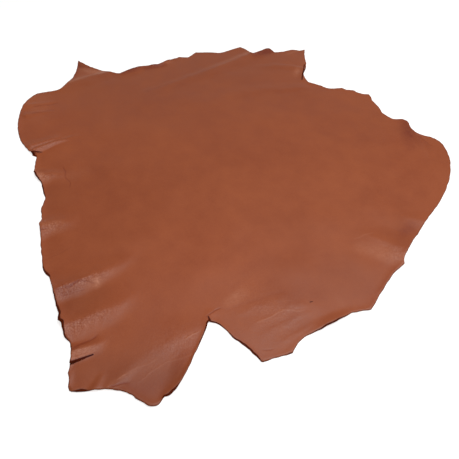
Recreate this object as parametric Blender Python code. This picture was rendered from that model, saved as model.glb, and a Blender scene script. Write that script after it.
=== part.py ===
# A small leather hide lying on a flat surface at z = 0, built as one closed sheet.
# +Y runs from the hind legs to the neck, and the origin is under the middle of its box.

import bpy
import numpy as np
from mathutils.geometry import delaunay_2d_cdt

MM = 0.001

THICKNESS = 1.3 * MM
EDGE_STEP = 11 * MM      # one straight piece of the trimmed edge
FOLD_STEP = 9 * MM       # spacing of the inner points where the hide is folded
EDGE_GAP = 7 * MM        # least distance from an inner point to the edge
CREST_RADIUS = 6 * MM    # roundness of a fold's crest, less on a narrow fold
FOLD_TAPER = 0.6         # a fold's width at its far end, as a share of its width at its start
FOLDED_RISE = 0.8 * MM   # a spot that rises more than this over one step counts as folded
SHORTEST = 0.01 * MM     # a distance below this counts as nought in a division
LEATHER_COLOR = (0.300, 0.087, 0.044, 1.0)
LEATHER_ROUGHNESS = 0.5

# The trimmed edge, clockwise from above, in stretches between the hide's landmarks.
# Each row is a corner and the shallow arc that leaves it towards the next corner.
# x, y: the corner, and bow: how far the arc bows outwards (+) or inwards (-), all in mm.
OUTLINE = {
    "left fore shank": [
        (-405, 38, 3), (-446, 88, 5), (-474, 185, 4), (-463, 253, 2), (-441, 266, 0),
        (-421, 270, -2), (-402, 280, -3), (-385, 338, 0),
    ],
    "left ear": [
        (-383, 360, 0), (-387, 406, -6), (-268, 346, 0), (-228, 374, 4),
    ],
    "neck": [
        (-176, 388, -1), (-150, 411, 0), (-123, 431, 0), (-99, 430, 0), (-80, 455, 0),
        (-14, 453, 0), (41, 482, 3), (66, 454, -1), (76, 440, -1), (108, 465, 2),
        (123, 465, 0), (134, 453, -2), (178, 470, 2), (201, 465, -1),
    ],
    "right neck bay": [
        (218, 471, -2), (214, 400, 2), (201, 349, -2), (210, 307, 0),
    ],
    "right shoulder": [
        (240, 293, -4), (267, 282, 0), (289, 283, 0), (298, 275, 1), (317, 272, -6),
        (349, 256, 2), (352, 232, 3), (365, 182, -1), (384, 158, 0), (404, 154, 3),
        (414, 130, -4),
    ],
    "right fore shank": [
        (429, 96, 0), (448, 94, 5), (472, 66, 4), (466, 0, 3), (434, -72, 2),
    ],
    "right belly": [
        (381, -141, 0), (352, -179, -1), (317, -227, -1), (309, -243, 0), (308, -250, 0),
        (287, -267, -1), (235, -337, -1), (203, -342, 2), (132, -379, -4),
    ],
    "right hind leg": [
        (105, -409, -1), (59, -423, -2), (17, -384, -1), (-3, -363, -1), (-15, -359, 0),
    ],
    "left hind leg": [
        (-20, -357, 1), (-46, -429, 1), (-62, -463, 0), (-71, -471, 0), (-78, -472, 1),
        (-87, -485, 1), (-98, -485, 0), (-117, -475, 0), (-121, -471, -2),
        (-159, -462, 1), (-209, -466, 2),
    ],
    "left belly": [
        (-214, -447, 0), (-218, -439, -1), (-220, -406, 0), (-228, -389, 1), (-235, -385, 0),
        (-242, -369, -2), (-250, -360, -2), (-261, -332, 0), (-272, -303, 0), (-288, -274, 2),
        (-303, -257, 0), (-320, -208, -1), (-333, -162, 0), (-333, -149, 0), (-340, -130, 0),
        (-343, -118, -1), (-343, -92, 1), (-361, -51, 2), (-384, -21, 1), (-392, 26, 0),
        (-402, 32, 0),
    ],
}

# The folds. Each is a crest from start to end, all lengths in mm.
# bow: how far the crest bows to its left at the middle.
# heights: at the start, the middle and the end, over the surface.
# left, right: how far the fold's two sides reach, seen along it from above.
FOLDS = {
    # name: (start x, y), (end x, y), bow, (heights), left, right
    "shank ridge": ((-412, 58), (-350, 96), 0, (6, 4, 0), 26, 7),
    "shank ridge low": ((-402, 47), (-322, 102), 0, (7, 5.5, 0), 7, 13),
    "shoulder ripple": ((-390, -34), (-312, -29), 2, (8, 6, 0), 26, 30),
    "belly ripple": ((-336, -170), (-262, -148), 2, (10, 5, 0), 36, 34),
    "upper belly ridge": ((-268, -302), (-186, -260), 2, (8.4, 7.6, 2), 44, 34),
    "upper belly tail": ((-200, -262), (-146, -238), 2, (1.5, 2, 0), 26, 20),
    "lower belly ridge": ((-247, -366), (-134, -310), -4, (11, 6, 0), 56, 38),
    "belly pinch": ((-222, -406), (-174, -392), 0, (6, 4.5, 0), 12, 22),
    "hind leg swell": ((-150, -444), (-26, -362), 5, (1.0, 2.1, 1.3), 76, 42),
    "hind hem fold": ((-160, -462), (-112, -429), 0, (1.2, 1, 0), 22, 9),
    "hind leg curl": ((-40, -426), (-66, -474), 3, (2, 4, 2), 12, 34),
    "hind tip curl": ((-156, -472), (-96, -494), -2, (0.5, 2.6, 2.6), 40, 20),
    "hind hem ripple": ((-176, -468), (-168, -436), 0, (4, 2, 0), 9, 9),
    "tail notch lip": ((-18, -346), (-44, -424), 4, (1, 1, 0), 10, 12),
    "right hind swell": ((30, -338), (140, -328), 4, (1, 2, 1), 80, 56),
    "right hind curl": ((142, -378), (200, -345), -3, (1, 5, 1), 26, 14),
    "right flank ridge": ((322, -222), (236, -176), -4, (8, 3, 0), 62, 40),
    "right flank curl": ((302, -256), (258, -308), 2, (1, 3, 1), 12, 18),
    "low belly ripple": ((374, -152), (326, -138), 0, (4, 2, 0), 30, 26),
    "right shank ridge": ((417, 160), (428, 34), 6, (7, 6, 1), 20, 26),
    "neck crease": ((72, 447), (-194, 264), 5, (4, 2.4, 0.8), 44, 22),
    "neck tab curl": ((82, 446), (130, 470), 4, (4, 5, 3), 12, 30),
    "neck tab arc": ((96, 386), (200, 372), 8, (1, 2, 3), 12, 26),
    "neck side curl": ((206, 398), (198, 322), -4, (1, 2, 2), 8, 22),
    "right shoulder swell": ((-40, 236), (196, 284), 12, (0, 2, 1), 40, 24),
    "left ear ridge": ((-398, 296), (-292, 356), 0, (2, 4, 3), 26, 46),
    "left ear curl": ((-393, 408), (-350, 378), 0, (6, 3, 0), 8, 24),
    "left neck curl": ((-264, 350), (-214, 384), 0, (3, 5, 3), 10, 34),
    "neck hem ripple": ((-196, 384), (-150, 410), 0, (2, 4, 2), 8, 20),
    "shank streak": ((-464, 208), (-396, 226), 0, (3, 2, 0), 14, 10),
    "shank streak low": ((-456, 172), (-396, 190), 0, (3, 2, 0), 12, 9),
}


def arc(start, end, bow, step):
    # Points from start up to, but not including, end, on a shallow arc.
    # The arc is a parabola: bow times 4 t (1 - t) to the left of the chord.
    chord = end - start
    length = np.hypot(*chord)
    count = max(1, round(length / step))
    t = np.arange(count) / count
    outward = np.array((-chord[1], chord[0])) / length
    return start + t[:, None] * chord + (4 * bow * t * (1 - t))[:, None] * outward


def trimmed_edge():
    rows = np.array([row for stretch in OUTLINE.values() for row in stretch]) * MM
    corners, bows = rows[:, :2], rows[:, 2]
    ends = np.roll(corners, -1, axis=0)
    return np.vstack([arc(a, b, bow, EDGE_STEP) for a, b, bow in zip(corners, ends, bows)])


def fold_height(points, start, end, bow, heights, left, right):
    # The height of one fold at each point. Along the crest it is the parabola through the
    # three heights. Across it, it falls as (1 - q)^2 (1 + q / 2), where q is the distance over
    # the width of that side. Round its ends the width turns evenly from one side's to the other's.
    start, end = np.array(start) * MM, np.array(end) * MM
    chord = end - start
    length = np.hypot(*chord)
    along = chord / length
    offset = points - start
    t = (offset @ along) / length
    inside = np.clip(t, 0, 1)
    side = offset @ np.array((-along[1], along[0])) - 4 * bow * MM * inside * (1 - inside)
    beyond = (t - inside) * length
    distance = np.hypot(side, beyond)
    left_share = 0.5 + 0.5 * side / np.maximum(distance, SHORTEST)
    width = (right + (left - right) * left_share) * MM * (1 - (1 - FOLD_TAPER) * inside)
    radius = np.minimum(CREST_RADIUS, width / 4)
    q = np.clip((np.hypot(distance, radius) - radius) / width, 0, 1)
    first, halfway, last = np.array(heights) * MM
    crest = first * (1 - inside) * (1 - 2 * inside) + 4 * halfway * inside * (1 - inside)
    crest = crest + last * inside * (2 * inside - 1)
    return crest * (1 - q) ** 2 * (1 + q / 2)


def hide_height(points):
    # The underside's height over the surface: the sum of the folds, and 0 where it lies flat.
    return sum(fold_height(points, *fold) for fold in FOLDS.values())


def inside_edge(points, edge):
    # True where a point lies inside the edge and clear of it.
    nxt = np.roll(edge, -1, axis=0)
    chord = nxt - edge
    offset = points[:, None] - edge[None]
    t = np.clip((offset * chord).sum(2) / (chord ** 2).sum(1), 0, 1)
    gap = np.linalg.norm(offset - t[..., None] * chord, axis=2).min(1)
    x, y = points[:, :1], points[:, 1:]
    spans = (edge[:, 1] > y) != (nxt[:, 1] > y)
    rise = np.where(chord[:, 1] == 0, 1, chord[:, 1])
    crossing = edge[:, 0] + (y - edge[:, 1]) * chord[:, 0] / rise
    inside = (spans & (x < crossing)).sum(1) % 2 == 1
    return inside & (gap > EDGE_GAP)


def inner_points(edge):
    # A staggered grid inside the edge: every point where the hide is folded,
    # and every third point of every third row where it lies flat.
    low, high = edge.min(0), edge.max(0)
    columns = np.arange(int((high[0] - low[0]) / FOLD_STEP) + 2)
    rows = np.arange(int((high[1] - low[1]) / (FOLD_STEP * 0.866)) + 2)
    column, row = (a.ravel() for a in np.meshgrid(columns, rows))
    grid = low + np.stack([(column + 0.5 * (row % 2)) * FOLD_STEP, row * FOLD_STEP * 0.866], 1)
    coarse = (row % 3 == 0) & ((column - row % 2) % 3 == 0)
    around = [grid + np.array(move) * FOLD_STEP for move in ((1, 0), (-1, 0), (0, 1), (0, -1))]
    heights = np.array([hide_height(points) for points in (grid, *around)])
    folded = np.ptp(heights, axis=0) > FOLDED_RISE
    grid = grid[coarse | folded]
    return grid[inside_edge(grid, edge)]


def build_sheet():
    edge = trimmed_edge()
    flat = np.vstack([edge, inner_points(edge)])
    loop = [list(range(len(edge)))[::-1]]
    corners, _, faces, *_ = delaunay_2d_cdt([tuple(p) for p in flat], [], loop, 1, 1e-6)
    flat = np.array([tuple(c) for c in corners])
    middle = (edge.min(0) + edge.max(0)) / 2
    sheet = np.column_stack([flat - middle, hide_height(flat)])
    mesh = bpy.data.meshes.new("hide")
    mesh.from_pydata(sheet.tolist(), [], faces)
    mesh.shade_smooth()
    return mesh


def leather():
    material = bpy.data.materials.new("tan_leather")
    material.use_nodes = True
    shader = material.node_tree.nodes["Principled BSDF"]
    shader.inputs["Base Color"].default_value = LEATHER_COLOR
    shader.inputs["Roughness"].default_value = LEATHER_ROUGHNESS
    shader.inputs["Metallic"].default_value = 0.0
    return material


def build_hide():
    # The mesh is the underside, and the thickness is added upwards, so what lies flat
    # rests exactly on the surface.
    hide = bpy.data.objects.new("hide", build_sheet())
    bpy.context.collection.objects.link(hide)
    hide.data.materials.append(leather())
    solid = hide.modifiers.new("thickness", "SOLIDIFY")
    solid.thickness = THICKNESS
    solid.offset = 1
    return hide


for thing in list(bpy.data.objects):
    bpy.data.objects.remove(thing, do_unlink=True)
build_hide()
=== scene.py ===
import math
import bpy
import numpy as np
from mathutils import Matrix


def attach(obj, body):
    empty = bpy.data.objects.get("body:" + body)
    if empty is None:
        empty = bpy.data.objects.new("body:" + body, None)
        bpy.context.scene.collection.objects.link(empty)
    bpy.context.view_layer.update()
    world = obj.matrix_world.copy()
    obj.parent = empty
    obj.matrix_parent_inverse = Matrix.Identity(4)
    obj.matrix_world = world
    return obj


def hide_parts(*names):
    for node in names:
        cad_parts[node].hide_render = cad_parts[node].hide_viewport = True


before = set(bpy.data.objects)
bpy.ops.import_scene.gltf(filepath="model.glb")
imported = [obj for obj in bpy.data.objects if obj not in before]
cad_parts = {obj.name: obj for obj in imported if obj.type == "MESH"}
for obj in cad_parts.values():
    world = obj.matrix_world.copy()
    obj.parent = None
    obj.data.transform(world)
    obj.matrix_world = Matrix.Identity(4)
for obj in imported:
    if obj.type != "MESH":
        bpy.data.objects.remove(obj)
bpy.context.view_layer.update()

# A small tan skin lying grain side up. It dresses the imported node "hide" with a finer sheet:
# a grain side, a cut edge and a flesh side, one closed surface of rings.
# Blender works in metres. The tables are in millimetres on the hide's own plan, neck at +Y.

mm = 0.001

# The trimmed edge, clockwise from above. Each row is a corner and the shallow arc that
# leaves it: x, y and how far the arc bows outwards.
edgeRows = {
    "leftForeShank": [
        (-405, 38, 3), (-446, 88, 5), (-474, 185, 4), (-463, 253, 2), (-441, 266, 0),
        (-421, 270, -2), (-402, 280, -3), (-385, 338, 0),
    ],
    "leftEar": [
        (-383, 360, 0), (-387, 406, -6), (-268, 346, 0), (-228, 374, 4),
    ],
    "neck": [
        (-176, 388, -1), (-150, 411, 0), (-123, 431, 0), (-99, 430, 0), (-80, 455, 0),
        (-14, 453, 0), (41, 482, 3), (66, 454, -1), (76, 440, -1), (108, 465, 2),
        (123, 465, 0), (134, 453, -2), (178, 470, 2), (201, 465, -1),
    ],
    "rightNeckBay": [
        (218, 471, -2), (214, 400, 2), (201, 349, -2), (210, 307, 0),
    ],
    "rightShoulder": [
        (240, 293, -4), (267, 282, 0), (289, 283, 0), (298, 275, 1), (317, 272, -6),
        (349, 256, 2), (352, 232, 3), (365, 182, -1), (384, 158, 0), (404, 154, 3),
        (414, 130, -4),
    ],
    "rightForeShank": [
        (429, 96, 0), (448, 94, 5), (472, 66, 4), (466, 0, 3), (434, -72, 2),
    ],
    "rightBelly": [
        (381, -141, 0), (352, -179, -1), (317, -227, -1), (309, -243, 0), (308, -250, 0),
        (287, -267, -1), (235, -337, -1), (203, -342, 2), (132, -379, -4),
    ],
    "rightHindLeg": [
        (105, -409, -1), (59, -423, -2), (17, -384, -1), (-3, -363, -1), (-15, -359, 0),
    ],
    "leftHindLeg": [
        (-20, -357, 1), (-46, -429, 1), (-62, -463, 0), (-71, -471, 0), (-78, -472, 1),
        (-87, -485, 1), (-98, -485, 0), (-117, -475, 0), (-121, -471, -2),
        (-159, -462, 1), (-209, -466, 2),
    ],
    "leftBelly": [
        (-214, -447, 0), (-218, -439, -1), (-220, -406, 0), (-228, -389, 1), (-235, -385, 0),
        (-242, -369, -2), (-250, -360, -2), (-261, -332, 0), (-272, -303, 0), (-288, -274, 2),
        (-303, -257, 0), (-320, -208, -1), (-333, -162, 0), (-333, -149, 0), (-340, -130, 0),
        (-343, -118, -1), (-343, -92, 1), (-361, -51, 2), (-384, -21, 1), (-392, 26, 0),
        (-402, 32, 0),
    ],
}

# The folds. Each is a crest from start to end, with how far the crest bows to its left, the
# heights at the start, the middle and the end, and the reach of its left and right sides.
foldRows = {
    "shankRidge": ((-412, 58), (-350, 96), 0, (6, 4, 0), 26, 7),
    "shankRidgeLow": ((-402, 47), (-322, 102), 0, (7, 5.5, 0), 7, 13),
    "shoulderRipple": ((-390, -34), (-312, -29), 2, (8, 6, 0), 26, 30),
    "bellyRipple": ((-336, -170), (-262, -148), 2, (10, 5, 0), 36, 34),
    "upperBellyRidge": ((-268, -302), (-186, -260), 2, (8.4, 7.6, 2), 44, 34),
    "upperBellyTail": ((-200, -262), (-146, -238), 2, (1.5, 2, 0), 26, 20),
    "lowerBellyRidge": ((-247, -366), (-134, -310), -4, (11, 6, 0), 56, 38),
    "bellyPinch": ((-222, -406), (-174, -392), 0, (6, 4.5, 0), 12, 22),
    "hindLegSwell": ((-150, -444), (-26, -362), 5, (1.0, 2.1, 1.3), 76, 42),
    "hindHemFold": ((-160, -462), (-112, -429), 0, (1.2, 1, 0), 22, 9),
    "hindLegCurl": ((-40, -426), (-66, -474), 3, (2, 4, 2), 12, 34),
    "hindTipCurl": ((-156, -472), (-96, -494), -2, (0.5, 2.6, 2.6), 40, 20),
    "hindHemRipple": ((-176, -468), (-168, -436), 0, (4, 2, 0), 9, 9),
    "tailNotchLip": ((-18, -346), (-44, -424), 4, (1, 1, 0), 10, 12),
    "rightHindSwell": ((30, -338), (140, -328), 4, (1, 2, 1), 80, 56),
    "rightHindCurl": ((142, -378), (200, -345), -3, (1, 5, 1), 26, 14),
    "hindStreak": ((30, -343), (104, -312), 2, (0.2, 0.4, 0.2), 9, 8),
    "hindStreakMiddle": ((46, -366), (128, -326), 2, (0.2, 0.5, 0.2), 9, 8),
    "hindStreakLow": ((60, -384), (142, -340), 3, (0.2, 0.5, 0.2), 9, 8),
    "hindStreakFoot": ((84, -396), (138, -362), 0, (0.2, 0.5, 0.2), 8, 8),
    "rightFlankRidge": ((322, -222), (236, -176), -4, (8, 3, 0), 62, 40),
    "rightFlankCurl": ((302, -256), (258, -308), 2, (1, 3, 1), 12, 18),
    "lowBellyRipple": ((374, -152), (326, -138), 0, (4, 2, 0), 30, 26),
    "rightShankRidge": ((417, 160), (428, 34), 6, (7, 6, 1), 20, 26),
    "neckCrease": ((72, 447), (-194, 264), 5, (4, 2.4, 0.8), 44, 22),
    "neckTabCurl": ((82, 446), (130, 470), 4, (4, 5, 3), 12, 30),
    "neckTabArc": ((96, 386), (200, 372), 8, (1, 2, 3), 12, 26),
    "neckSideCurl": ((206, 398), (198, 322), -4, (1, 2, 2), 8, 22),
    "rightShoulderSwell": ((-40, 236), (196, 284), 12, (0, 2, 1), 40, 24),
    "leftEarRidge": ((-398, 296), (-292, 356), 0, (2, 4, 3), 26, 46),
    "leftEarCurl": ((-393, 408), (-350, 378), 0, (6, 3, 0), 8, 24),
    "leftNeckCurl": ((-264, 350), (-214, 384), 0, (3, 5, 3), 10, 34),
    "neckHemRipple": ((-196, 384), (-150, 410), 0, (2, 4, 2), 8, 20),
    "shankStreak": ((-464, 208), (-396, 226), 0, (3, 2, 0), 14, 10),
    "shankStreakLow": ((-456, 172), (-396, 190), 0, (3, 2, 0), 12, 9),
}

# Short slits where the upper side laps over the lower one: start, end, how high the lap
# stands at the start, how far it laps, and the reach of its upper side.
lapRows = {
    "bellyLap": ((-220, -425), (-187, -412), 3.5, 2.5, 26),
    "shankLap": ((-405, 37), (-383, 41), 4, 3, 20),
}

# Slits and scars in the grain: start, end, half width, the share by which it narrows to its
# end, and how dark it is. The slits' darkness is painted shade in the gaps under the laps and
# lifted edges, and at full strength their middles take the dark cut edge finish; the scar is
# its own mark.
slitShadeAndScarRows = {
    "bellySlit": ((-220, -426), (-188, -411), 3.0, 0.40, 1.0),
    "shankSlit": ((-409, 36), (-385, 42), 2.8, 0.50, 1.0),
    "shankSlitEnd": ((-402, 35), (-395, 31), 3.8, 0.30, 1.0),
    "tailSlit": ((-17, -360), (-21, -349), 3.4, 0.60, 1.0),
    "hindScar": ((140, -323), (144, -322), 1.5, 0.20, 0.6),
    "sideHem": ((208, 392), (201, 354), 2.0, 0.00, 1.0),
    "sideHemEnd": ((201, 354), (194, 320), 2.8, 0.25, 1.0),
}

# Fine lines, too narrow for the rings, so they are bumps: start, end, half width and height,
# which is below nought for a groove and above it for a raised line. The grooves are also
# painted darker, partly veins and scratches and partly painted shade in the creases, and the
# raised lines paler, partly rub and partly painted highlight.
lineRows = {
    "bellyVein": ((-327, -8), (-319, -26), 2.4, -0.32),
    "bellyVeinTail": ((-319, -26), (-303, -58), 2.4, -0.27),
    "bellyScratch": ((-306, -241), (-268, -214), 2.4, -0.12),
    "bellyDip": ((-333, -180), (-316, -174), 3, -0.30),
    "ridgeWrinkle": ((-264, -305), (-247, -297), 3.0, -0.32),
    "ridgeWrinkleRise": ((-247, -297), (-234, -285), 3.0, -0.50),
    "ridgeWrinkleEnd": ((-234, -285), (-212, -287), 2.6, -0.28),
    "ridgeWrinkleLow": ((-255, -312), (-226, -300), 2.4, -0.16),
    "bellyTrough": ((-216, -402), (-190, -382), 4.5, -0.34),
    "bellyLip": ((-219, -420), (-190, -407), 2.2, 0.30),
    "legCrease": ((-114, -448), (-88, -427), 2.4, 0.09),
    "legCreaseRise": ((-88, -427), (-44, -411), 2.4, 0.08),
    "legCreaseFoot": ((-152, -457), (-134, -455), 2.4, -0.46),
    "hemLine": ((-157, -458), (-138, -443), 2.4, 0.20),
    "hemLineRise": ((-138, -443), (-121, -432), 2.8, 0.06),
    "legLine": ((-121, -432), (-96, -418), 2.4, 0.08),
    "legScar": ((-53, -385), (-36, -377), 2.4, 0.26),
    "notchLine": ((-21, -346), (-4, -336), 2.4, -0.34),
    "hindCrease": ((4, -337), (50, -321), 6, -0.07),
    "hindCreaseRise": ((50, -321), (98, -304), 6, -0.08),
    "hindLine": ((58, -357), (96, -338), 3, 0.20),
    "hindLineEnd": ((96, -338), (127, -337), 3, 0.16),
    "hindLineLow": ((62, -372), (112, -349), 2.4, -0.04),
    "hindLineFoot": ((84, -393), (132, -355), 2.4, -0.05),
    "hindTipLine": ((64, -402), (74, -403), 2.4, -0.20),
    "flankLine": ((236, -190), (270, -180), 2.4, 0.14),
    "neckLine": ((-192, 267), (-60, 355), 3.5, -0.18),
    "neckLineRise": ((-60, 355), (70, 449), 3.5, -0.26),
    "shankLine": ((424, 92), (441, 66), 3, -0.30),
    "earLine": ((-383, 386), (-352, 376), 4, -0.30),
    "earRay": ((-378, 372), (-350, 356), 4, 0.15),
    "leftShankLine": ((-440, 178), (-400, 190), 4, -0.24),
    "leftShankLineHigh": ((-446, 205), (-398, 218), 4, -0.24),
}

# Where the dye took more or less, together with painted light and shade for how the lamps
# fall on each region: the middle and radius of a patch, and how much fairer it is, or below
# nought how much darker.
dyeLightAndShadePatches = {
    "legTip": ((-104, -466), 100, -0.20),
    "legSide": ((-64, -438), 30, -0.10),
    "legCorner": ((-200, -455), 90, -0.14),
    "bellyHollow": ((-228, -318), 66, -0.15),
    "rump": ((-30, -270), 190, 0.09),
    "rightFlank": ((334, -188), 60, -0.08),
    "saddle": ((190, -222), 70, 0.01),
    "hindSide": ((206, -286), 88, -0.06),
    "rightShank": ((406, 108), 42, -0.08),
    "leftSide": ((-390, 90), 190, 0.09),
    "leftBelly": ((-330, -96), 60, -0.06),
    "neck": ((-20, 340), 280, -0.04),
    "rightHind": ((90, -345), 130, -0.06),
    "rightShankInside": ((376, 88), 44, 0.05),
    "neckTab": ((112, 456), 34, -0.08),
    "earFan": ((-350, 352), 34, 0.09),
    "earTip": ((-378, 388), 22, -0.14),
    "leftShank": ((-446, 190), 130, 0.14),
    "rightEnd": ((410, -10), 150, 0.04),
}

# Where the leather is loose and finely wrinkled beside the folds, and its colour mottles paint
# a speckled sheen: middle, radius and amount.
looseAndSheenRows = {
    "leg": ((-62, -396), 54, 0.28),
    "rightHind": ((84, -356), 70, 0.25),
    "rump": ((40, -304), 60, 0.15),
    "pinch": ((-176, -390), 30, 0.2),
    "shank": ((-376, 76), 34, 0.30),
    "ripple": ((-312, -166), 32, 0.25),
    "shoulder": ((-362, -36), 26, 0.25),
}

# Strokes above nought are painted highlights where the lamps' sheen falls on the folds, partly
# where handling has rubbed the grain paler; below nought they are painted shade where slopes
# turn from the light, partly where the dye gathered darker: start, end, how far the stroke
# bows to its left, its strength at the start, the middle and the end, and the reach of its
# left and right sides.
rubSheenAndShadeStrokes = {
    "neckCrease": ((74, 452), (-190, 270), 5, (0.45, 0.10, 0.0), 3, 22),
    "neckHemPale": ((-160, 394), (-140, 406), 0, (0.15, 0.30, 0.15), 8, 8),
    "neckHemDark": ((-262, 354), (-226, 378), 0, (-0.70, -0.90, -0.60), 8, 20),
    "neckHemDarkRight": ((-206, 376), (-160, 392), 0, (-0.50, -0.70, -0.40), 8, 16),
    "neckTabDark": ((82, 440), (128, 464), 0, (-0.60, -0.85, -0.70), 12, 20),
    "neckSide": ((191, 376), (182, 342), 0, (0.15, 0.40, 0.15), 12, 14),
    "neckCorner": ((166, 446), (198, 464), 0, (0.10, 0.20, 0.20), 6, 7),
    "ear": ((-400, 298), (-298, 360), 0, (0.38, 0.36, 0.28), 26, 4),
    "earFan": ((-360, 368), (-318, 354), 0, (0.25, 0.40, 0.40), 16, 18),
    "earSide": ((-386, 322), (-385, 394), 0, (-0.30, -0.45, -0.50), 8, 14),
    "shank": ((-398, 56), (-332, 98), 0, (0.15, 0.20, 0.0), 8, 8),
    "shankInside": ((-448, 236), (-424, 160), 0, (0.10, 0.12, 0.06), 44, 44),
    "shoulder": ((-368, -38), (-340, -48), 0, (0.65, 0.35, 0.0), 14, 18),
    "shoulderGlow": ((-328, -37), (-282, -18), 0, (0.06, 0.12, 0.06), 20, 26),
    "belly": ((-332, -164), (-284, -152), 0, (0.12, 0.28, 0.0), 4, 34),
    "bellyRidge": ((-262, -308), (-208, -284), 0, (-0.25, -0.10, 0.30), 12, 20),
    "bellyRidgeEnd": ((-208, -276), (-204, -292), 0, (0.25, 0.40, 0.20), 7, 8),
    "pinch": ((-216, -411), (-190, -401), 0, (0.40, 0.40, 0.20), 8, 8),
    "pinchWedge": ((-219, -402), (-172, -381), 0, (-0.20, -0.15, -0.05), 8, 8),
    "hem": ((-156, -457), (-124, -434), 1, (0.12, 0.12, 0.05), 5, 6),
    "legShade": ((-52, -416), (-74, -452), 0, (-0.18, -0.22, -0.08), 10, 24),
    "legTip": ((-122, -462), (-86, -462), 0, (-0.20, -0.26, -0.20), 26, 20),
    "rump": ((10, -322), (34, -304), 0, (0.18, 0.36, 0.18), 14, 18),
    "hindSide": ((184, -316), (198, -332), 0, (0.04, 0.08, 0.05), 10, 12),
    "flank": ((304, -238), (244, -214), 0, (0.24, 0.30, 0.16), 24, 24),
    "flankDark": ((342, -162), (314, -192), 0, (-0.30, -0.35, -0.10), 18, 16),
    "flankHem": ((292, -266), (252, -308), 0, (-0.15, -0.22, -0.10), 10, 12),
    "rightShank": ((416, 152), (404, 52), -3, (-0.38, -0.52, -0.18), 14, 26),
    "rightShankLow": ((414, 104), (430, 52), 0, (-0.14, -0.24, -0.10), 18, 14),
}

# Where the knife's slant shows more of the cut edge, which is painted darker the more it
# slants, as shade under the lifted rim: middle, radius and amount.
slantAndShadeRows = {
    "legSide": ((-70, -464), 22, 0.90),
    "legFlank": ((-27, -372), 40, 0.60),
    "hindFront": ((38, -400), 42, 0.90),
    "hindSide": ((165, -362), 46, 0.55),
    "hindCorner": ((101, -410), 8, 0.30),
    "bellyCorner": ((-194, -466), 15, 0.80),
    "bellySide": ((-250, -350), 70, 0.85),
    "bellyHigh": ((-294, -266), 24, 0.85),
    "shoulder": ((-372, -36), 26, 0.75),
    "shoulderLow": ((-352, -68), 28, 0.65),
    "neckSide": ((203, 352), 44, 0.50),
}

sheetShape = {
    "thickness": 1.3 * mm,
    "edgeColumns": 1000,
    "edgeSamples": 6000,       # points from which the columns' spacing is worked out
    "lapCrowding": 5,          # how much denser the columns stand at the laps, and over what span
    "lapSpan": 14 * mm,
    "rings": 46,
    "evenRings": 0.35,         # share of the ring spacing that is even, the rest crowds the edge
    "ringPower": 5,
    "harmonicFade": 0.6,       # how fast the outline's corners and bays smooth out inwards
    "cornerRounding": 0.0022,  # fades the finest harmonics from the first ring inwards
    "crestRadius": 3 * mm,     # rounds the folds' crests off
    "foldTaper": 0.6,          # a fold's reach at its end, as a share of that at its start
    "crestWander": 1.6 * mm,   # how far the crests stray from their lines
    "wanderSpan": 45 * mm,
    "wanderInset": 30 * mm,    # the width over which they begin to stray, from the edge inwards
    "crestWaver": 0.07,        # how unevenly high they are, as a share
    "waverSpan": 63 * mm,
    "swell": 0.9 * mm,         # the hide's own low unevenness, and the span of its waves
    "swellSpan": 95 * mm,
    "swellFoot": 0.2,          # rounds the waves off where they meet the floor
    "crumple": 0.2 * mm,       # small wrinkles, in full on folds of this height
    "crumpleSpan": 15 * mm,
    "crumpleFold": 6 * mm,
    "crumpleDip": -0.8,        # how deep they can go below nought
    "edgeLift": 2.2 * mm,      # how far the rim can stand off the floor, and over what width
    "liftWidth": 16 * mm,
    "liftShare": 0.45,         # how much of that it does, how far this varies, and the span
    "liftWaver": 0.35,
    "liftSpan": 70 * mm,
    "liftLimits": (0.05, 1),
    "edgeBevel": 3.0 * mm,     # how far the flesh side runs out where the knife slants in full
    "bevelRings": 7,           # the rings that it draws inwards
    "slantShare": 0.14,        # how much of that it slants, and how much more towards the left
    "slantLean": 0.10,
    "slantLimits": (0.06, 0.30),
    "slantWaver": 0.25,
    "slantSpan": 30 * mm,
    "edgeNick": 0.35 * mm,     # unevenness of the knife's cut
    "nickSpan": 13 * mm,
    "rimSteps": 4,
    "burnishAndShadeSlant": 0.1,       # the least slant that the rim's dark band goes by, partly burnish, partly painted shade
    "slitShadeSlant": 2,            # the slant for which the middle of a slit counts, so its faces are painted darkest, as shade
    "slitShadeCore": 0.45,        # where a slit's share is above this, its faces take the dark cut edge, as painted shade
    "looseFold": 7 * mm,       # the fold height at which leather is loose in full
    "looseLevel": 0.35,        # that share where it's level, the gain where it tilts towards
    "looseTilt": 3,            # the tail, and the least share
    "looseLeast": 0.1,
    "lineWander": 1.2 * mm,    # how far the fine lines stray from straight
    "lineSpan": 30 * mm,
    "lineSide": 9 * mm,        # how far they fade to the sides and past the ends
    "lineEnd": 6 * mm,
}


def softNoise(x, y, span, seed):
    # Seven plane waves about span apart, in drawn directions and phases, each weighing the
    # same: their sum over the square root of seven, roughly from -1.5 to 1.5.
    waves = 7
    lowest, highest = (0, 0, 0.7), (math.pi, 2 * math.pi, 1.5)
    total = 0
    for turn, phase, stretch in np.random.default_rng(seed).uniform(lowest, highest, (waves, 3)):
        wave = 2 * math.pi / (span * stretch)
        total = total + np.sin(wave * (x * math.cos(turn) + y * math.sin(turn)) + phase)
    return total / math.sqrt(waves)


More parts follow.
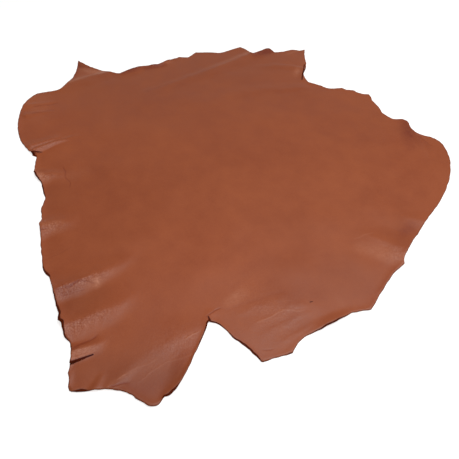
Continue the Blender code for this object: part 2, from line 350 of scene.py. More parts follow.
def edgeCurve(shape):
    # Points along the arcs: chord plus 4 t (1 - t) times the bow, outwards. They are evenly
    # spaced, but crowded near a lap's start by 1 + crowding exp(-(distance / span)^2).
    rows = np.array([row for stretch in edgeRows.values() for row in stretch], float) * mm
    start, bow = rows[:, :2], rows[:, 2]
    chord = np.roll(start, -1, axis=0) - start
    length = np.hypot(chord[:, 0], chord[:, 1])
    reach = np.append(0, np.cumsum(length))
    outward = np.stack([-chord[:, 1], chord[:, 0]], 1) / length[:, None]

    def along(place):
        arc = np.minimum(np.searchsorted(reach, place, side="right") - 1, len(length) - 1)
        t = ((place - reach[arc]) / length[arc])[:, None]
        return start[arc] + t * chord[arc] + 4 * bow[arc, None] * t * (1 - t) * outward[arc]

    fine = np.linspace(0, reach[-1], shape["edgeSamples"])
    points = along(fine)
    density = np.ones(len(fine))
    for lap in lapRows.values():
        away = np.hypot(*(points - np.array(lap[0]) * mm).T)
        density += shape["lapCrowding"] * np.exp(-(away / shape["lapSpan"]) ** 2)
    share = np.append(0, np.cumsum(density[1:] + density[:-1]))
    columns = np.arange(shape["edgeColumns"]) / shape["edgeColumns"]
    points = along(np.interp(columns * share[-1], share, fine))
    nick = shape["edgeNick"]
    points[:, 0] += nick * softNoise(points[:, 0], points[:, 1], shape["nickSpan"], 21)
    points[:, 1] += nick * softNoise(points[:, 0], points[:, 1], shape["nickSpan"], 22)
    return points


def ringShares(shape):
    # From 0 at the edge to nearly 1 at the middle: even t + (1 - even) t^power.
    t = np.arange(shape["rings"]) / shape["rings"]
    return shape["evenRings"] * t + (1 - shape["evenRings"]) * t ** shape["ringPower"]


def ringsInward(edge, shrink, shape):
    # The first ring is the edge. The others are the edge shrunk towards its middle by shrink,
    # with its (k + 1)-th harmonic faded by exp(-(k (rounding + fade shrink))^2), so corners and
    # bays smooth out inwards.
    count = len(edge)
    middle = edge.mean(0) @ (1, 1j)
    harmonics = np.fft.fft(edge @ (1, 1j) - middle)
    order = np.maximum(np.abs(np.fft.fftfreq(count, 1 / count)) - 1, 0)
    fade = shape["cornerRounding"] * (shrink[:, None] > 0) + shape["harmonicFade"] * shrink[:, None]
    ring = np.fft.ifft(harmonics * np.exp(-(order * fade) ** 2), axis=1)
    ring = middle + ring * (1 - shrink[:, None])
    return np.stack([ring.real, ring.imag], 2)


def acrossLine(x, y, start, end, bow):
    # Where a point lies by a bowed line: the share along it, the distance to its left, and
    # the distance to the nearest of its points.
    alongX, alongY = (end[0] - start[0]) * mm, (end[1] - start[1]) * mm
    length = math.hypot(alongX, alongY)
    alongX, alongY = alongX / length, alongY / length
    dx, dy = x - start[0] * mm, y - start[1] * mm
    t = (dx * alongX + dy * alongY) / length
    inside = np.clip(t, 0, 1)
    side = dy * alongX - dx * alongY - 4 * bow * mm * inside * (1 - inside)
    return inside, side, np.hypot(side, (t - inside) * length)


def sideReach(side, distance, left, right):
    # The reach towards a point beside a line: the left or the right one, turning evenly from
    # one to the other round the line's ends.
    leftShare = 0.5 + 0.5 * side / np.maximum(distance, 0.01 * mm)
    return (right + (left - right) * leftShare) * mm


def foldHeight(x, y, fold, shape):
    # One fold's height: along its crest the parabola through the given heights, and across it
    # (1 - q)^2 (1 + q / 2), with q the distance over the reach. The crest is rounded off.
    start, end, bow, heights, left, right = fold
    inside, side, distance = acrossLine(x, y, start, end, bow)
    reach = sideReach(side, distance, left, right) * (1 - (1 - shape["foldTaper"]) * inside)
    crestRadius = np.minimum(shape["crestRadius"], reach / 4)
    q = np.clip((np.hypot(distance, crestRadius) - crestRadius) / reach, 0, 1)
    first, halfway, last = np.array(heights) * mm
    crest = first * (1 - inside) * (1 - 2 * inside) + 4 * halfway * inside * (1 - inside)
    crest = crest + last * inside * (2 * inside - 1)
    return crest * (1 - q) ** 2 * (1 + q / 2)


def lapOffset(x, y, lap):
    # A slit's upper side, on its left: it rises as (1 - distance / reach)^2 towards the slit,
    # fading to nothing at its end, and leans over the slit by the same share.
    start, end, height, over, reach = lap
    inside, side, distance = acrossLine(x, y, start, end, 0)
    share = np.clip(1 - distance / (reach * mm), 0, 1) ** 2 * (1 - inside) * (side > 0)
    length = math.hypot(end[0] - start[0], end[1] - start[1])
    leanX, leanY = (end[1] - start[1]) / length, (start[0] - end[0]) / length
    return np.stack([leanX * over * mm * share, leanY * over * mm * share, height * mm * share], -1)


def slitShadeShare(x, y):
    # How far inside a full-strength slit a point lies: 1 on its line, 0 at its half width.
    share = np.zeros_like(x)
    for start, end, width, taper, dark in slitShadeAndScarRows.values():
        inside, side, distance = acrossLine(x, y, start, end, 0)
        near = 1 - distance / (width * mm * (1 - taper * inside))
        share = np.maximum(share, near * (dark >= 1))
    return share


def fineLines(x, y, shape):
    # For each point, the strongest line near it: its height, fading evenly to the sides and
    # past the ends, and the distance to the line's left over its half width.
    x = x + shape["lineWander"] * softNoise(x, y, shape["lineSpan"], 8)
    y = y + shape["lineWander"] * softNoise(x, y, shape["lineSpan"], 9)
    height, offset = np.zeros_like(x), np.zeros_like(x)
    for start, end, width, rise in lineRows.values():
        inside, side, distance = acrossLine(x, y, start, end, 0)
        past = np.sqrt(np.maximum(distance ** 2 - side ** 2, 0))
        beside = np.clip(1 - np.abs(side) / shape["lineSide"], 0, 1)
        near = rise * beside * np.clip(1 - past / shape["lineEnd"], 0, 1)
        stronger = np.abs(near) > np.abs(height)
        height = np.where(stronger, near, height)
        offset = np.where(stronger, side / (width * mm), offset)
    return height, offset


def patchSum(x, y, rows):
    # Round patches added up, each its amount in the middle and fading outwards as
    # (1 - q^2)^2, with q the distance over its radius.
    total = np.zeros_like(x)
    for (middleX, middleY), radius, amount in rows.values():
        q = np.hypot(x - middleX * mm, y - middleY * mm) / (radius * mm)
        total += amount * np.clip(1 - q ** 2, 0, 1) ** 2
    return total


def strokeSum(x, y):
    # The strokes added up, each fading to its sides and past its ends as (1 - q^2)^2, with q
    # the distance over the reach of that side.
    total = np.zeros_like(x)
    for start, end, bow, strengths, left, right in rubSheenAndShadeStrokes.values():
        inside, side, distance = acrossLine(x, y, start, end, bow)
        q = distance / sideReach(side, distance, left, right)
        total += np.interp(inside, (0, 0.5, 1), strengths) * np.clip(1 - q ** 2, 0, 1) ** 2
    return total


def looseAndSheen(x, y, folds, normal, shape):
    # How loose the leather is, which also places painted sheen: the folds' height, times level -
    # tilt n with n the normal's part towards the neck, so most on the slopes towards the tail,
    # where the lamp's highlights fall, plus the table's patches.
    facing = np.clip(shape["looseLevel"] - shape["looseTilt"] * normal[..., 1], shape["looseLeast"], 1)
    return np.clip(folds / shape["looseFold"] * facing + patchSum(x, y, looseAndSheenRows), 0, 1)


def gridNormals(points):
    # Unit normals of a grid of closed rings: inwards crossed with along the ring, turned
    # upwards where a sharp notch folds the rings over.
    along = np.roll(points, -1, axis=1) - np.roll(points, 1, axis=1)
    inward = np.gradient(points, axis=0)
    normal = np.cross(inward, along)
    normal *= np.where(normal[..., 2:] < 0, -1, 1)
    return normal / np.linalg.norm(normal, axis=-1, keepdims=True)


def squareOut(edge):
    # Unit vectors square to the edge, outwards, each the mean over three columns to either side.
    along = np.roll(edge, -1, axis=0) - np.roll(edge, 1, axis=0)
    square = np.stack([-along[:, 1], along[:, 0]], 1)
    square /= np.linalg.norm(square, axis=1, keepdims=True)
    square = sum(np.roll(square, step, axis=0) for step in range(-3, 4))
    return square / np.linalg.norm(square, axis=1, keepdims=True)


def edgeSlant(edge, outward, shape):
    # How much of the bevel's width the knife slants along the edge: share - lean n within its
    # limits, with n the edge's outward part to the right, plus the table's, all wavering.
    slant = np.clip(shape["slantShare"] - shape["slantLean"] * outward[:, 0], *shape["slantLimits"])
    slant = slant + patchSum(edge[:, 0], edge[:, 1], slantAndShadeRows)
    waver = softNoise(edge[:, 0], edge[:, 1], shape["slantSpan"], 23)
    return slant * (1 + shape["slantWaver"] * waver)


def fleshSurface(edge, shape):
    # The flesh side: the folds, a low unevenness (n + sqrt(n^2 + foot)) / 2 of a noise n, small
    # wrinkles in proportion to the folds, and the rim's lift, on the plan of rings.
    flat = ringsInward(edge, ringShares(shape), shape)
    x, y = flat[..., 0], flat[..., 1]
    inward = np.linalg.norm(flat - flat[0], axis=-1)
    wander = shape["crestWander"] * np.clip(inward / shape["wanderInset"], 0, 1)
    strayX = x + wander * softNoise(x, y, shape["wanderSpan"], 1)
    strayY = y + wander * softNoise(x, y, shape["wanderSpan"], 2)
    folds = sum(foldHeight(strayX, strayY, fold, shape) for fold in foldRows.values())
    waver = 1 + shape["crestWaver"] * softNoise(x, y, shape["waverSpan"], 3)
    swell = softNoise(x, y, shape["swellSpan"], 4)
    swell = shape["swell"] * (swell + np.sqrt(swell ** 2 + shape["swellFoot"])) / 2
    crumple = shape["crumple"] * np.clip(folds / shape["crumpleFold"], 0, 1)
    crumple = crumple * np.maximum(softNoise(x, y, shape["crumpleSpan"], 5), shape["crumpleDip"])
    lift = np.clip(1 - inward / shape["liftWidth"], 0, 1) ** 2 * shape["edgeLift"]
    share = shape["liftShare"] + shape["liftWaver"] * softNoise(x, y, shape["liftSpan"], 6)
    lift = lift * np.clip(share, *shape["liftLimits"])
    height = folds * waver + swell + crumple + lift
    return np.stack([x, y, np.maximum(height, 0)], -1), folds


def closedMesh(name, loops):
    # A grid of closed loops: quads between one loop and the next, and at both ends a fan from
    # the loop to its middle.
    columns = loops.shape[1]
    caps = np.stack([loops[0].mean(0), loops[-1].mean(0)])
    points = np.concatenate([caps, loops.reshape(-1, 3)])
    first = len(caps) + columns * np.arange(len(loops))[:, None]
    here = first + np.arange(columns)
    beside = first + (np.arange(columns) + 1) % columns
    quads = np.stack([here[:-1], beside[:-1], beside[1:], here[1:]], -1).reshape(-1, 4)
    topFan = np.stack([np.zeros(columns, int), beside[0], here[0]], 1)
    bottomFan = np.stack([np.ones(columns, int), here[-1], beside[-1]], 1)
    mesh = bpy.data.meshes.new(name)
    mesh.from_pydata(points.tolist(), [], quads.tolist() + topFan.tolist() + bottomFan.tolist())
    return mesh


def faceFinishes(cut, rimLoops, shape):
    # The number of each face's material: 0 for grain, 1 for the cut edge and 2 for suede. A grain
    # face takes 1, as painted shade in a slit's gap, where the mean of its corners' cut shares is past
    # the limit.
    rings, columns = cut.shape
    through = (cut[:-1] + cut[1:])[::-1]
    through = (through + np.roll(through, -1, axis=1)) / 4 > shape["slitShadeCore"]
    sides = [through.ravel(), np.ones((rimLoops + 1) * columns), np.full((rings - 1) * columns, 2)]
    fans = np.repeat((0, 2), columns)
    return np.concatenate([*sides, fans]).astype(int)


def addFields(mesh, fields, rimLoops):
    # The materials' values at each point, the same on both sides, and down the rim as at the edge.
    for name, values in fields.items():
        rows = np.concatenate([values[::-1], np.repeat(values[:1], rimLoops, 0), values])
        caps = values[-1, [0, 0]]
        layer = mesh.attributes.new(name, "FLOAT", "POINT")
        layer.data.foreach_set("value", np.concatenate([caps, rows.ravel()]))


def buildHide(shape):
    edge = edgeCurve(shape)
    middle = (edge.min(0) + edge.max(0)) / 2
    flesh, folds = fleshSurface(edge, shape)
    lapped = sum(lapOffset(flesh[..., 0], flesh[..., 1], lap) for lap in lapRows.values())
    planX, planY = flesh[..., 0] + lapped[..., 0], flesh[..., 1] + lapped[..., 1]
    flesh[..., :2] -= middle
    normal = gridNormals(flesh)
    # The laps lift both sides, but only the grain side leans over, which keeps them apart.
    grain = flesh + shape["thickness"] * normal + lapped
    flesh[..., 2] += lapped[..., 2]
    # The knife's slant draws the grain side's rim inwards, square to the edge, and the rings
    # next to it less and less.
    outward = squareOut(edge)
    slant = edgeSlant(edge, outward, shape)
    fade = np.clip(1 - np.arange(shape["rings"]) / shape["bevelRings"], 0, 1)
    grain[..., :2] -= shape["edgeBevel"] * fade[:, None, None] * slant[:, None] * outward
    down = np.linspace(0, 1, shape["rimSteps"] + 1)[1:-1, None, None]
    rim = grain[0] * (1 - down) + flesh[0] * down
    mesh = closedMesh("leatherHide", np.concatenate([grain[::-1], rim, flesh]))
    # The slits' middles take the dark cut edge finish, as painted shade in their gaps.
    cut = slitShadeShare(planX, planY)
    mesh.polygons.foreach_set("material_index", faceFinishes(cut, len(rim), shape))
    inward = np.linalg.norm(flesh[..., :2] - flesh[0, :, :2], axis=-1)
    lineHeight, lineOffset = fineLines(planX, planY, shape)
    addFields(mesh, {
        "looseAndSheen": looseAndSheen(planX, planY, folds, normal, shape),
        "shade": patchSum(planX, planY, dyeLightAndShadePatches),
        "stroke": strokeSum(planX, planY),
        "lineHeight": lineHeight,
        "lineOffset": lineOffset,
        "inward": inward / np.maximum(slant, shape["burnishAndShadeSlant"]),
        "slant": np.maximum(slant, shape["slitShadeSlant"] * cut),
    }, len(rim))
    mesh.shade_smooth()
    mesh.validate()
    hide = bpy.data.objects.new("leatherHide", mesh)
    bpy.context.collection.objects.link(hide)
    ahead = np.roll(edge, -1, axis=0)
    area = 0.5 * abs(np.sum(edge[:, 0] * ahead[:, 1] - edge[:, 1] * ahead[:, 0]))
    return hide, float(area), middle


hide, flatArea, hideMiddle = buildHide(sheetShape)
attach(hide, "root")
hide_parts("hide")
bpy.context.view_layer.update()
triangles = sum(len(face.vertices) - 2 for face in hide.data.polygons)
print("hide built:", triangles, "triangles,", round(flatArea, 3), "square metres")


leather = {
    "deepTan": (0.235, 0.046, 0.0085),
    "fairTan": (0.300, 0.067, 0.0140),
    # The valleys' tan also paints shade, and the paler tan paints highlights as well as rub.
    "valleyAndShadeTan": (0.150, 0.015, 0.0005),
    "rubAndSheenTan": (0.410, 0.148, 0.0750),
    "slitShadeBrown": (0.040, 0.000, 0.000),
    "roughness": (0.43, 0.55),
    "specular": 0.42,
    "cloud": 160 * mm,         # the size of the dye's widest clouds
    "pebble": 1.3 * mm,        # the size of the grain's pebbles
    "grainDepth": 0.085,       # the grain's height in mm
    "breakDepth": 1.5,         # the break lines' and the crinkles' depth, over the grain's
    "crinkle": 18.0,
    "valleyShare": 0.22,       # how much darker the grain's valleys are
    "mottle": 0.45,            # how strongly the colour mottles speckle the folds as painted sheen, and the mottles' shine
    "mottleShine": 0.2,
    "mottleFineness": 420.0,   # this and the other finenesses are counts to the metre
    "strokePatch": (0.5, 1.5), # how far a stroke's strength varies
    "strokeFineness": 260.0,
    "patchRange": (0.3, 0.7),  # where most of the mottles' and the strokes' noise lies
    "lineStray": 0.8,          # how far a fine line strays, in half widths
    "lineFineness": 250.0,
    "lineFull": 0.5,           # the height in mm at which a groove is painted dark and a raised line pale in full
    "lineDark": 0.8,
    "lineRubAndHighlight": 0.6,
    "slitSpread": 2.0,         # at 2, the inner half of a slit is painted dark in full, as shade
    "burnishAndShade": (0.2, 1.2),     # mm from the rim over its slant, where its dark band fades, partly burnish, partly painted shade
    "burnishAndShadeShare": 0.85,
    "edgeBrown": (0.045, 0.005, 0.001),
    "edgeFair": (0.100, 0.015, 0.004),
    "edgePale": (0.140, 0.030, 0.009),
    "edgeRoughness": 0.9,
    "edgeSpecular": 0.0,
    "edgeShadeSlants": (0.2, 0.6),  # the slants from which the cut edge is painted darker, and darkest, as shade
    "fibreFineness": 900.0,
    "fibreDraw": 4,            # how much longer than thick the strands are
    "fibreRange": (0.35, 0.65),
    "fibreDepth": 0.25,        # mm, as is the nap's
    "suedeDeep": (0.250, 0.105, 0.055),
    "suedeFair": (0.360, 0.170, 0.095),
    "suedeRoughness": 0.95,
    "suedeSpecular": 0.2,
    "suedeCloud": 0.3,         # how much the clouds add to the nap's tone
    "suedeRange": (0.40, 0.90),
    "napFineness": 700.0,
    "napDepth": 0.5,
}

# The grain's make-up: finenesses over the pebbles', and heights over the grain's.
grainPattern = {
    "napFineness": 0.35,
    "crinkleFineness": 0.2,
    "breakFineness": 0.16,
    "stray": 1.8,              # how far the pebbles are pushed about, in pebbles
    "valleyWidth": 0.26,       # shares of a cell
    "breakWidth": 0.14,
    "napHeight": 1.6,
    "pebbleHeight": 0.40,
}

cloudPattern = {
    "layers": ((1, 2.0, 0.45), (5, 4.0, 0.35), (45, 4.0, 0.20)),    # fineness, detail, weight
    "range": (0.32, 0.68),     # where most of their sum lies
}


def fillSockets(tree, node, sockets):
    # A value or a link for each named socket.
    for name, value in sockets.items():
        if isinstance(value, bpy.types.NodeSocket):
            tree.links.new(value, node.inputs[name])
        else:
            node.inputs[name].default_value = value
    return node


def put(tree, kind, sockets, **settings):
    # One shader node, with its settings and sockets.
    node = tree.nodes.new("ShaderNode" + kind)
    for name, value in settings.items():
        setattr(node, name, value)
    return fillSockets(tree, node, sockets)


def maths(tree, operation, *values):
    return put(tree, "Math", dict(enumerate(values)), operation=operation).outputs[0]


def vectorMaths(tree, operation, sockets, output="Vector"):
    return put(tree, "VectorMath", sockets, operation=operation).outputs[output]


def noise(tree, where, scale, detail, roughness=0.5, distortion=0.0):
    sockets = {"Vector": where, "Scale": scale, "Detail": detail, "Roughness": roughness,
               "Distortion": distortion}
    return put(tree, "TexNoise", sockets).outputs["Fac"]


def edgeOfCells(tree, where, scale):
    # The distance to the edge of the cell that a point is in.
    sockets = {"Vector": where, "Scale": scale}
    return put(tree, "TexVoronoi", sockets, feature="DISTANCE_TO_EDGE").outputs["Distance"]


def ranged(tree, value, fromMin, fromMax, toMin, toMax):
    # A linear map from one range to another, clamped to the second.
    sockets = {"Value": value, "From Min": fromMin, "From Max": fromMax, "To Min": toMin,
               "To Max": toMax}
    return put(tree, "MapRange", sockets).outputs["Result"]


def clamped(tree, value):
    return ranged(tree, value, 0.0, 1.0, 0.0, 1.0)


def eased(tree, value):
    # A smooth step from 0 to 1.
    return put(tree, "MapRange", {"Value": value}, interpolation_type="SMOOTHSTEP").outputs["Result"]


def blended(tree, share, first, second):
    # A colour between two, which are colours or sockets.
    colors = [color if isinstance(color, bpy.types.NodeSocket) else (*color, 1)
              for color in (first, second)]
    return put(tree, "Mix", {0: share, 6: colors[0], 7: colors[1]}, data_type="RGBA").outputs[2]


def attribute(tree, name):
    return put(tree, "Attribute", {}, attribute_name=name).outputs["Fac"]


def newGroup(name, inputs, outputs):
    # A shader node group, with the sockets that its nodes read from and write to.
    group = bpy.data.node_groups.new(name, "ShaderNodeTree")
    for label, kind in inputs.items():
        group.interface.new_socket(label, in_out="INPUT", socket_type="NodeSocket" + kind)
    for label in outputs:
        group.interface.new_socket(label, in_out="OUTPUT", socket_type="NodeSocketFloat")
    return group, group.nodes.new("NodeGroupInput").outputs, group.nodes.new("NodeGroupOutput").inputs


def useGroup(tree, group, sockets):
    node = tree.nodes.new("ShaderNodeGroup")
    node.node_tree = group
    return fillSockets(tree, node, sockets).outputs


def buildGrain(pattern):
    # Leather grain: pebbles parted by fine valleys, with nap over them. Where the leather is
    # loose, crinkles a few pebbles wide are added and a wide net of break lines is cut.
    sockets = {"Vector": "Vector", "Pebble": "Float", "Looseness": "Float", "Break Depth": "Float",
               "Crinkle": "Float"}
    group, given, out = newGroup("leatherGrain", sockets, ("Height", "Valley"))
    scale = maths(group, "DIVIDE", 1.0, given["Pebble"])
    wide = maths(group, "MULTIPLY", scale, pattern["napFineness"])
    stray = put(group, "TexNoise", {"Vector": given["Vector"], "Scale": wide, "Detail": 2.0})
    stray = vectorMaths(group, "SUBTRACT", {0: stray.outputs["Color"], 1: (0.5, 0.5, 0.5)})
    reach = maths(group, "MULTIPLY", given["Pebble"], pattern["stray"])
    shift = vectorMaths(group, "SCALE", {0: stray, "Scale": reach})
    where = vectorMaths(group, "ADD", {0: given["Vector"], 1: shift})
    pebble = edgeOfCells(group, where, scale)
    pebble = ranged(group, pebble, 0.0, pattern["valleyWidth"], 0.0, 1.0)
    nap = noise(group, where, wide, detail=6.0, roughness=0.65)
    folded = maths(group, "MULTIPLY", scale, pattern["crinkleFineness"])
    folded = noise(group, where, folded, detail=4.0)
    crinkle = maths(group, "MULTIPLY", given["Looseness"], given["Crinkle"])
    folded = maths(group, "MULTIPLY", folded, crinkle)
    net = edgeOfCells(group, where, maths(group, "MULTIPLY", scale, pattern["breakFineness"]))
    net = ranged(group, net, 0.0, pattern["breakWidth"], 1.0, 0.0)
    depth = maths(group, "MULTIPLY", given["Looseness"], given["Break Depth"])
    net = maths(group, "MULTIPLY", net, depth)
    height = maths(group, "MULTIPLY_ADD", nap, pattern["napHeight"], folded)
    height = maths(group, "MULTIPLY_ADD", pebble, pattern["pebbleHeight"], height)
    group.links.new(maths(group, "SUBTRACT", height, net), out["Height"])
    group.links.new(maths(group, "SUBTRACT", 1.0, pebble), out["Valley"])
    return group


def buildClouds(pattern):
    # The dye's cloudiness: the layers of noise added up, then stretched to run from 0 to 1.
    group, given, out = newGroup("dyeClouds", {"Vector": "Vector", "Cloud": "Float"}, ("Tone",))
    scale = maths(group, "DIVIDE", 1.0, given["Cloud"])
    total = 0.0
    for times, detail, weight in pattern["layers"]:
        cloud = noise(group, given["Vector"], maths(group, "MULTIPLY", scale, times), detail)
        total = maths(group, "MULTIPLY_ADD", cloud, weight, total)
    group.links.new(ranged(group, total, *pattern["range"], 0.0, 1.0), out["Tone"])
    return group


def buildNick():
    # How near a point is to a line seen from above: 1 on it, falling smoothly to 0 at Width,
    # which shrinks by the share Taper towards the line's end.
    sockets = {"Vector": "Vector", "Start": "Vector", "End": "Vector", "Width": "Float",
               "Taper": "Float"}
    group, given, out = newGroup("nick", sockets, ("Mask",))
    level = vectorMaths(group, "MULTIPLY", {0: given["Vector"], 1: (1, 1, 0)})
    away = vectorMaths(group, "SUBTRACT", {0: level, 1: given["Start"]})
    along = vectorMaths(group, "SUBTRACT", {0: given["End"], 1: given["Start"]})
    reached = vectorMaths(group, "DOT_PRODUCT", {0: away, 1: along}, "Value")
    whole = vectorMaths(group, "DOT_PRODUCT", {0: along, 1: along}, "Value")
    inside = clamped(group, maths(group, "DIVIDE", reached, whole))
    foot = vectorMaths(group, "SCALE", {0: along, "Scale": inside})
    gap = vectorMaths(group, "DISTANCE", {0: away, 1: foot}, "Value")
    narrowed = maths(group, "SUBTRACT", 1.0, maths(group, "MULTIPLY", given["Taper"], inside))
    width = maths(group, "MULTIPLY", given["Width"], narrowed)
    near = maths(group, "SUBTRACT", 1.0, maths(group, "DIVIDE", gap, width))
    group.links.new(eased(group, near), out["Mask"])
    return group


def newMaterial(name, roughness, specular):
    material = bpy.data.materials.new(name)
    material.use_nodes = True
    tree = material.node_tree
    shader = tree.nodes["Principled BSDF"]
    shader.inputs["Roughness"].default_value = roughness
    shader.inputs["Specular IOR Level"].default_value = specular
    return material, tree, shader


def relief(tree, shader, height):
    # Height in millimetres as a bump on the shader.
    bump = put(tree, "Bump", {"Height": height, "Strength": 1.0, "Distance": mm})
    tree.links.new(bump.outputs["Normal"], shader.inputs["Normal"])


def lineRelief(tree, where, look):
    # A fine line's profile: its height, eased off with the distance from it.
    stray = noise(tree, where, look["lineFineness"], detail=3.0)
    offset = maths(tree, "MULTIPLY_ADD", stray, look["lineStray"], attribute(tree, "lineOffset"))
    offset = maths(tree, "ABSOLUTE", maths(tree, "SUBTRACT", offset, look["lineStray"] / 2))
    near = eased(tree, ranged(tree, offset, 0.0, 1.0, 1.0, 0.0))
    return maths(tree, "MULTIPLY", near, attribute(tree, "lineHeight"))


def slitShadeAndScars(tree, nick, where, look, middle):
    # The slits' painted shade and the scars' marks, spread and added up, each as dark as its row says.
    slitShadeAndScarMask = 0.0
    for start, end, width, taper, dark in slitShadeAndScarRows.values():
        ends = [(*(np.array(point) * mm - middle), 0) for point in (start, end)]
        sockets = {"Vector": where, "Start": ends[0], "End": ends[1], "Width": width * mm,
                   "Taper": taper}
        mask = useGroup(tree, nick, sockets)["Mask"]
        mask = maths(tree, "MULTIPLY", mask, look["slitSpread"])
        slitShadeAndScarMask = maths(tree, "MULTIPLY_ADD", mask, dark, slitShadeAndScarMask)
    return clamped(tree, slitShadeAndScarMask)


def grainLeather(grain, clouds, nick, look, middle):
    # The dyed grain: clouds and painted light and shade patches first, then valleys, strokes of
    # painted sheen and shade, mottles, fine lines, the slits' painted shade and the rim's dark band,
    # each laid over the last.
    material, tree, shader = newMaterial("grainLeather", look["roughness"][0], look["specular"])
    where = put(tree, "TexCoord", {}).outputs["Object"]
    # The looseness also places the mottles' painted sheen.
    loose = attribute(tree, "looseAndSheen")
    skin = useGroup(tree, grain, {"Vector": where, "Pebble": look["pebble"], "Looseness": loose,
                                  "Break Depth": look["breakDepth"], "Crinkle": look["crinkle"]})
    tone = useGroup(tree, clouds, {"Vector": where, "Cloud": look["cloud"]})["Tone"]
    relieved = lineRelief(tree, where, look)
    slitShadeAndScarMask = slitShadeAndScars(tree, nick, where, look, middle)
    color = blended(tree, tone, look["deepTan"], look["fairTan"])
    # The patches scale the colour: partly the dye's unevenness, partly painted light and shade.
    shade = maths(tree, "ADD", attribute(tree, "shade"), 1.0)
    color = vectorMaths(tree, "SCALE", {0: color, "Scale": shade})
    valley = maths(tree, "MULTIPLY", skin["Valley"], look["valleyShare"])
    color = blended(tree, valley, color, look["valleyAndShadeTan"])
    patchy = noise(tree, where, look["strokeFineness"], detail=4.0)
    patchy = ranged(tree, patchy, *look["patchRange"], *look["strokePatch"])
    stroke = maths(tree, "MULTIPLY", attribute(tree, "stroke"), patchy)
    # The mottles: paler and darker speckle where the leather is loose, painted sheen on the lit slopes.
    mottle = noise(tree, where, look["mottleFineness"], detail=3.0)
    mottle = ranged(tree, mottle, *look["patchRange"], -look["mottle"], look["mottle"])
    mottle = maths(tree, "MULTIPLY", loose, mottle)
    stroke = maths(tree, "ADD", stroke, mottle)
    # Strokes and mottles above nought lean to the paler tan, painted highlight and rub; below nought to
    # the valleys' tan, painted shade.
    color = blended(tree, clamped(tree, stroke), color, look["rubAndSheenTan"])
    color = blended(tree, ranged(tree, stroke, -1.0, 0.0, 1.0, 0.0), color, look["valleyAndShadeTan"])
    # Grooves painted darker, partly their own marks and partly painted shade; raised lines paler,
    # partly painted highlight.
    groove = ranged(tree, relieved, -look["lineFull"], 0.0, look["lineDark"], 0.0)
    color = blended(tree, groove, color, look["valleyAndShadeTan"])
    ridge = ranged(tree, relieved, 0.0, look["lineFull"], 0.0, look["lineRubAndHighlight"])
    color = blended(tree, ridge, color, look["rubAndSheenTan"])
    # Painted shade in the slits' gaps, and the scar's own mark.
    color = blended(tree, slitShadeAndScarMask, color, look["slitShadeBrown"])
    # The rim's dark band: partly burnish, partly painted shade of the lifted rim.
    inward = maths(tree, "MULTIPLY", attribute(tree, "inward"), 1 / mm)
    burnishAndShade = ranged(tree, inward, *look["burnishAndShade"], look["burnishAndShadeShare"], 0.0)
    color = blended(tree, burnishAndShade, color, look["edgeBrown"])
    tree.links.new(color, shader.inputs["Base Color"])
    dull = ranged(tree, tone, 0.0, 1.0, *look["roughness"])
    dull = maths(tree, "MULTIPLY_ADD", mottle, -look["mottleShine"], dull)
    tree.links.new(maths(tree, "MAXIMUM", dull, slitShadeAndScarMask), shader.inputs["Roughness"])
    relief(tree, shader, maths(tree, "MULTIPLY_ADD", skin["Height"], look["grainDepth"], relieved))
    return material


def cutEdge(look):
    # Bare fibres: short strands drawn out along the sheet. They are painted darker where the
    # knife's slant is wider, partly the dye and partly painted shade under the lifted rim and in the
    # slits.
    material, tree, shader = newMaterial("cutEdge", look["edgeRoughness"], look["edgeSpecular"])
    where = put(tree, "TexCoord", {}).outputs["Object"]
    sockets = {"Vector": where, "Scale": (1, 1, look["fibreDraw"])}
    drawn = put(tree, "Mapping", sockets).outputs["Vector"]
    fibres = noise(tree, drawn, look["fibreFineness"], detail=5.0, roughness=0.7)
    share = ranged(tree, fibres, *look["fibreRange"], 0.0, 1.0)
    dyed = blended(tree, share, look["edgeBrown"], look["edgeFair"])
    edgeShade = ranged(tree, attribute(tree, "slant"), *look["edgeShadeSlants"], 0.0, 1.0)
    tree.links.new(blended(tree, edgeShade, look["edgePale"], dyed), shader.inputs["Base Color"])
    relief(tree, shader, maths(tree, "MULTIPLY", fibres, look["fibreDepth"]))
    return material


def fleshSuede(clouds, look):
    # The flesh side's nap: short fibres brushed every way, paler on their tips.
    material, tree, shader = newMaterial("fleshSuede", look["suedeRoughness"], look["suedeSpecular"])
    where = put(tree, "TexCoord", {}).outputs["Object"]
    tone = useGroup(tree, clouds, {"Vector": where, "Cloud": look["cloud"]})["Tone"]
    nap = noise(tree, where, look["napFineness"], detail=6.0, roughness=0.75, distortion=1.5)
    share = maths(tree, "MULTIPLY_ADD", tone, look["suedeCloud"], nap)
    share = ranged(tree, share, *look["suedeRange"], 0.0, 1.0)
    suede = blended(tree, share, look["suedeDeep"], look["suedeFair"])
    tree.links.new(suede, shader.inputs["Base Color"])
    relief(tree, shader, maths(tree, "MULTIPLY", nap, look["napDepth"]))
    return material


def finishHide(hide, look, middle):
    # In the order of the faces' numbers: grain, cut edge, suede.
    grain, clouds, nick = buildGrain(grainPattern), buildClouds(cloudPattern), buildNick()
    hide.data.materials.append(grainLeather(grain, clouds, nick, look, middle))
    hide.data.materials.append(cutEdge(look))
    hide.data.materials.append(fleshSuede(clouds, look))


finishHide(hide, leather, hideMiddle)
print("leather, cut edge and suede finished")

view = {
    "height": 0.62,            # metres above the floor
    "foot": (0.0119, -0.6905), # where it stands on the hide's plan, in metres
    "downward": 50,            # degrees
    "lens": 35,
    "sensor": 36,
}


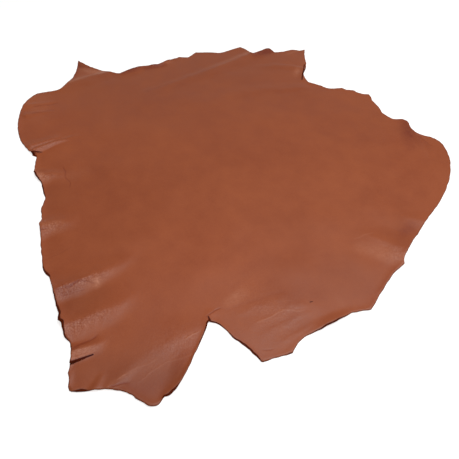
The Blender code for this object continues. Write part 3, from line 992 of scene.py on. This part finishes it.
def buildCamera(view, middle):
    camera = bpy.data.objects.new("camera", bpy.data.cameras.new("camera"))
    bpy.context.collection.objects.link(camera)
    camera.data.lens = view["lens"]
    camera.data.sensor_width = view["sensor"]
    camera.location = (*(np.array(view["foot"]) - middle), view["height"])
    camera.rotation_euler = (math.radians(90 - view["downward"]), 0, 0)
    bpy.context.scene.camera = camera


studio = {
    "floorReach": 4.0,
    "floorDrop": 0.3 * mm,     # keeps the floor clear of the flesh side
    "floorColor": (0.5, 0.5, 0.5),
    "floorRoughness": 0.9,
    "floorSpecular": 0.3,
    "floorGlow": 0.66,
    "worldStrength": 0.32,
    "white": (1, 1, 1, 1),
}

# The soft boxes: place, tilt in degrees, size and power.
lampRows = {
    "overhead": ((0.48, -0.25, 1.7), (-10, 14, 0), (1.5, 1.1), 31),
    "backCard": ((0.0, 2.6, 1.1), (-70, 0, 0), (3.4, 1.3), 4.5),
}


def buildFloor(studio):
    reach, height = studio["floorReach"], -studio["floorDrop"]
    corners = [(x * reach, y * reach, height) for x, y in ((-1, -1), (1, -1), (1, 1), (-1, 1))]
    mesh = bpy.data.meshes.new("floor")
    mesh.from_pydata(corners, [], [(0, 1, 2, 3)])
    floor = bpy.data.objects.new("floor", mesh)
    bpy.context.collection.objects.link(floor)
    material, tree, shader = newMaterial("paleFloor", studio["floorRoughness"], studio["floorSpecular"])
    shader.inputs["Base Color"].default_value = (*studio["floorColor"], 1)
    shader.inputs["Emission Color"].default_value = studio["white"]
    shader.inputs["Emission Strength"].default_value = studio["floorGlow"]
    mesh.materials.append(material)


def buildLight(studio, lamps):
    world = bpy.data.worlds.new("studio")
    world.use_nodes = True
    background = world.node_tree.nodes["Background"]
    background.inputs["Color"].default_value = studio["white"]
    background.inputs["Strength"].default_value = studio["worldStrength"]
    bpy.context.scene.world = world
    for name, (place, tilt, size, power) in lamps.items():
        light = bpy.data.lights.new(name, "AREA")
        light.energy = power
        light.shape = "RECTANGLE"
        light.size, light.size_y = size
        lamp = bpy.data.objects.new(name, light)
        bpy.context.collection.objects.link(lamp)
        lamp.location = place
        lamp.rotation_euler = np.radians(tilt)
    bpy.context.scene.view_settings.view_transform = "Standard"


buildCamera(view, hideMiddle)
buildFloor(studio)
buildLight(studio, lampRows)
print("camera, floor and lights placed")
